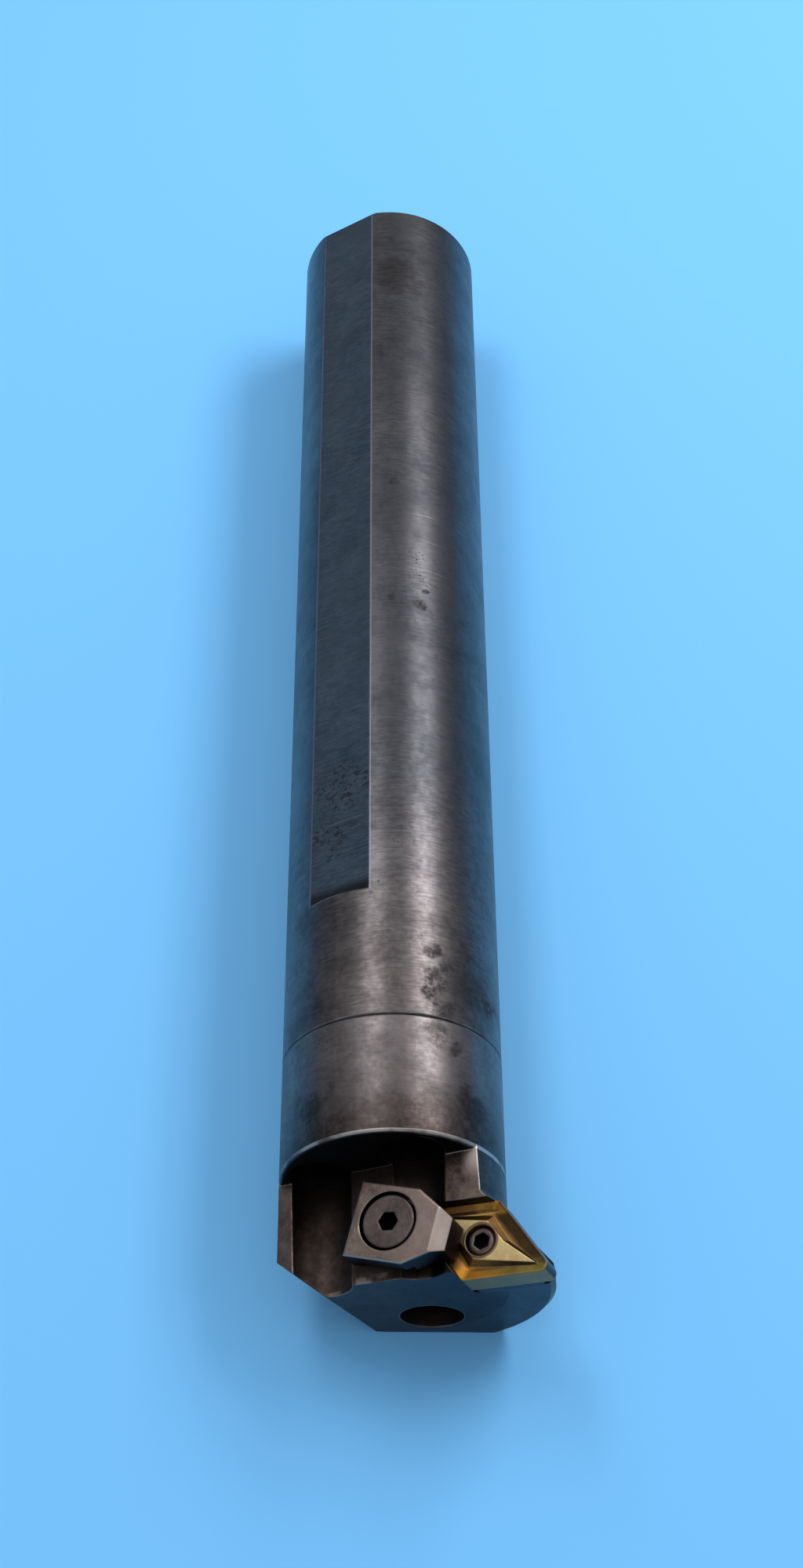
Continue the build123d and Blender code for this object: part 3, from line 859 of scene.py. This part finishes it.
point_angle = radians(55.0)
edge_distance = 6.35
groove_end, land_start = edge_distance - 2.6, edge_distance - 1.9
side_way = front_edge_way * sin(point_angle) + back_way * cos(point_angle)
to_front = along(tree, -back_way, seat_hole)
to_side = along(tree, side_way, seat_hole)
by_front = ramp(tree, to_front, groove_end, land_start)
by_side = ramp(tree, to_side, groove_end, land_start)
by_back = ramp(tree, to_front, -groove_end, -land_start)
by_heel = ramp(tree, to_side, -groove_end, -land_start)
upwards = facing(tree, seat_up)
print("insert edges at", edge_distance, "mm from the hole")

# %% [markdown]
# The colours go on from the widest area to the smallest. Brown gold lies everywhere. The side
# that trails is a dull olive brown, and the back edge has a dark and a light line where chips
# slid along it, with a burnt corner. The heel is striped.

# %% Insert: side, back and heel
gold = mix(tree, clouds, (0.120, 0.062, 0.022), (0.270, 0.150, 0.045))
olive = mix(tree, clouds, (0.038, 0.023, 0.013), (0.120, 0.078, 0.030))
colour = mix(tree, by_side, gold, olive)
dark_line = times(tree, band(tree, to_front, -5.2, -4.7, 0.1), by_back)
colour = mix(tree, dark_line, colour, (0.040, 0.024, 0.014))
light_line = times(tree, band(tree, to_front, -4.6, -4.35, 0.1), by_back)
colour = mix(tree, light_line, colour, (0.420, 0.290, 0.110))
corner_stripes = ramp(tree, stripes, 0.35, 0.60, 0.3, 1.0)
burnt_corner = times(tree, by_back, ramp(tree, to_side, 1.5, 4.5), corner_stripes)
colour = mix(tree, burnt_corner, colour, (0.380, 0.190, 0.030))
heel_stripes = mix(tree, stripes, (0.110, 0.060, 0.022), (0.340, 0.170, 0.040))
colour = mix(tree, by_heel, colour, heel_stripes)
print("insert: side, back and heel")

# %% [markdown]
# The front edge does the cutting. It is orange at the heel and goes over to a dull yellow at the
# nose, and behind it chips have rubbed a long brown crater. The walls of the groove hold soot, and
# because they are steep they are also painted dark as shade.

# %% Insert: cutting edge and groove
orange = mix(tree, clouds, (0.240, 0.100, 0.014), (0.460, 0.220, 0.030))
dull_yellow = mix(tree, clouds, (0.105, 0.078, 0.020), (0.270, 0.205, 0.050))
cutting_edge = mix(tree, ramp(tree, to_side, -4.0, 2.0), orange, dull_yellow)
colour = mix(tree, by_front, colour, cutting_edge)
crater = times(tree, band(tree, to_front, 3.9, 5.0, 0.25), ramp(tree, to_side, -4.6, -3.0))
crater = times(tree, crater, by_front, 0.75)
colour = mix(tree, crater, colour, (0.085, 0.060, 0.034))
# Painted shade: steep groove walls, found by how far they face up, are darkened; the clouds add soot.
groove_wall_shade = times(tree, fade(tree, upwards, 0.80, 0.93), ramp(tree, upwards, 0.1, 0.2), 0.9)
sooty_and_shaded = mix(tree, clouds, (0.022, 0.013, 0.009), (0.070, 0.045, 0.022))
colour = mix(tree, groove_wall_shade, colour, sooty_and_shaded)
print("insert: cutting edge, crater and groove")

# %% [markdown]
# The raised middle is pale cream where the coating has thinned, and browner on the clamp's side,
# as a painted shadow of the clamp. The pin has rubbed a brown ring round the hole, and the side rim
# is burnt dark red. The front flank keeps its gold, dulled by the blue of the floor it faces, and
# the other flanks are painted dark blue-grey as shade.

# %% Insert: middle, ring, flanks and the finished coating
level_top = ramp(tree, upwards, 0.985, 0.998)
middle = times(tree, level_top, ramp(tree, along(tree, seat_up, seat_hole), 0.02, 0.06))
cream = mix(tree, clouds, (0.290, 0.205, 0.088), (0.600, 0.480, 0.235))
# Painted shadow of the clamp: the middle is browner on the clamp's side.
cream_in_clamp_shadow = mix(tree, clouds, (0.110, 0.072, 0.034), (0.220, 0.155, 0.075))
colour = mix(tree, middle, colour, mix(tree, fade(tree, to_side, -3.5, 0.5, 0.75), cream, cream_in_clamp_shadow))

ring = times(tree, fade(tree, away_from(tree, seat_up, seat_hole), 2.95, 3.2), 0.85)
colour = mix(tree, ring, colour, mix(tree, clouds, (0.050, 0.034, 0.024), (0.110, 0.076, 0.048)))
burnt_rim = times(tree, ramp(tree, to_side, 5.7, 6.25), fade(tree, to_front, 5.0, 5.8), 0.85)
colour = mix(tree, burnt_rim, colour, (0.060, 0.026, 0.022))

flank_with_painted_shade = mix(tree, clouds, (0.240, 0.135, 0.058), (0.380, 0.215, 0.090))
# Painted shade: flanks that don't face forward are dark blue-grey.
flank_with_painted_shade = mix(tree, fade(tree, facing(tree, -back_way), 0.6, 0.8), flank_with_painted_shade, (0.040, 0.045, 0.055))
colour = mix(tree, fade(tree, upwards, 0.05, 0.12), colour, flank_with_painted_shade)
colour = mix(tree, times(tree, edges.outputs["Mask"], 0.25), colour, (0.50, 0.38, 0.18))
rough = ramp(tree, clouds, 0.0, 1.0, 0.44, 0.34)
feed(tree, shader, colour, rough, noise(tree, 3000.0, 3.0), 0.25, 0.00002, edges.outputs["Normal"])
dress("insert", coated)
